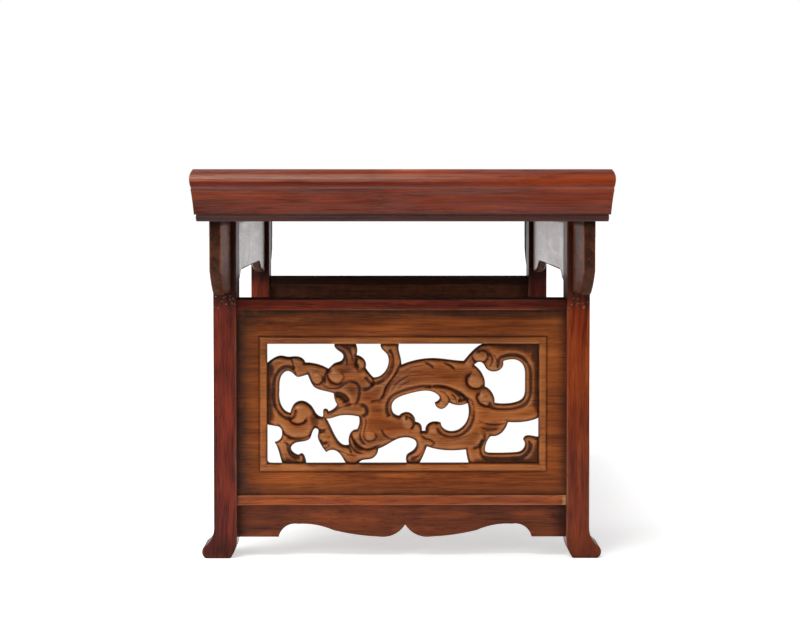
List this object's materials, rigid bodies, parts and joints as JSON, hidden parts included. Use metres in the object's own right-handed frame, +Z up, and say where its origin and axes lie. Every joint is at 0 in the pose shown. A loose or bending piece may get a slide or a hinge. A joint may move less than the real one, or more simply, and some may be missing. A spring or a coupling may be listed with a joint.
{
  "type": "miniature altar table",
  "caption": "Small hardwood table with inset legs, moulded frame-and-panel top, slotted legs over long aprons and pierced carved end panels, to stand a display piece on.",
  "frame": {"origin": "on the ground under the middle of the table", "axes": "+Z up, Y along the length of the top, X across it; the front end is at -Y"},
  "size_m": [0.169, 0.34, 0.1638],
  "materials": {
    "top_wood": "polished reddish hardwood",
    "top_panel_wood": "polished reddish hardwood",
    "batten_wood": "polished reddish hardwood",
    "apron_wood": "polished reddish hardwood",
    "leg_wood": "polished reddish hardwood",
    "rail_wood": "polished reddish hardwood",
    "panel_wood": "polished reddish hardwood",
    "end_apron_wood": "polished reddish hardwood"
  },
  "bodies": {
    "root": {"top_long_rail_left": "top_wood", "top_long_rail_right": "top_wood", "top_end_rail_front": "top_wood", "top_end_rail_back": "top_wood", "top_panel": "top_panel_wood", "top_batten_front": "batten_wood", "top_batten_middle": "batten_wood", "top_batten_back": "batten_wood", "apron_left": "apron_wood", "apron_right": "apron_wood", "leg_front_left": "leg_wood", "leg_front_right": "leg_wood", "leg_back_left": "leg_wood", "leg_back_right": "leg_wood", "end_rail_upper_front": "rail_wood", "end_rail_upper_back": "rail_wood", "end_rail_lower_front": "rail_wood", "end_rail_lower_back": "rail_wood", "end_panel_front": "panel_wood", "end_panel_back": "panel_wood", "end_apron_front": "end_apron_wood", "end_apron_back": "end_apron_wood"}
  },
  "joints": []
}
